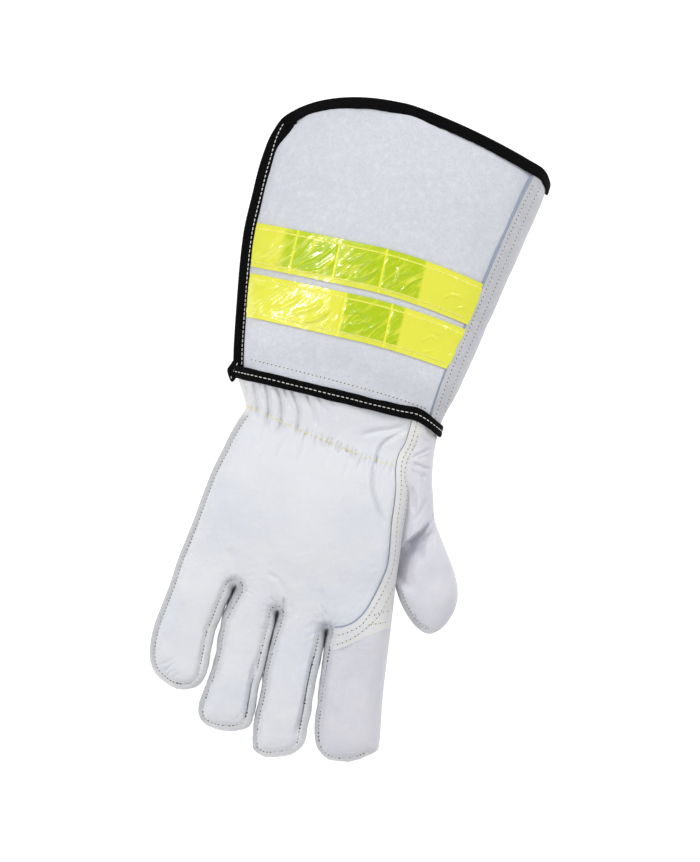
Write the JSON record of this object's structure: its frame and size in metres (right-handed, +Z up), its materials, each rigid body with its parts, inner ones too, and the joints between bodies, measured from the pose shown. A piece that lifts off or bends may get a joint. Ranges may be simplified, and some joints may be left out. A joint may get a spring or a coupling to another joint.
{
  "type": "lineman glove",
  "caption": "Right-hand leather work glove with a flared gauntlet cuff, black bound edges and reflective tapes, lying palm down.",
  "frame": {"origin": "under the middle of the glove's bounding box, on the surface it lies on", "axes": "+X to the thumb side, +Y from the fingertips to the mouth of the cuff, +Z up through the back of the hand"},
  "size_m": [0.1672, 0.38, 0.0528],
  "materials": {
    "grain_leather": "off-white grain leather, matt",
    "split_leather": "off-white split leather, napped",
    "binding_tape": "woven black tape",
    "reflective_vinyl": "glossy lime-yellow vinyl"
  },
  "bodies": {
    "root": {"hand_back": "grain_leather", "index_back": "grain_leather", "fourchette_pinky_ring": "grain_leather", "fourchette_ring_middle": "grain_leather", "fourchette_middle_index": "grain_leather", "palm": "grain_leather", "thumb_back": "grain_leather", "thumb_front": "grain_leather", "cuff_back": "split_leather", "cuff_palm": "split_leather", "lower_tape": "reflective_vinyl", "upper_tape": "reflective_vinyl", "rim_binding": "binding_tape", "side_binding": "binding_tape", "wrist_binding": "binding_tape"}
  },
  "joints": []
}
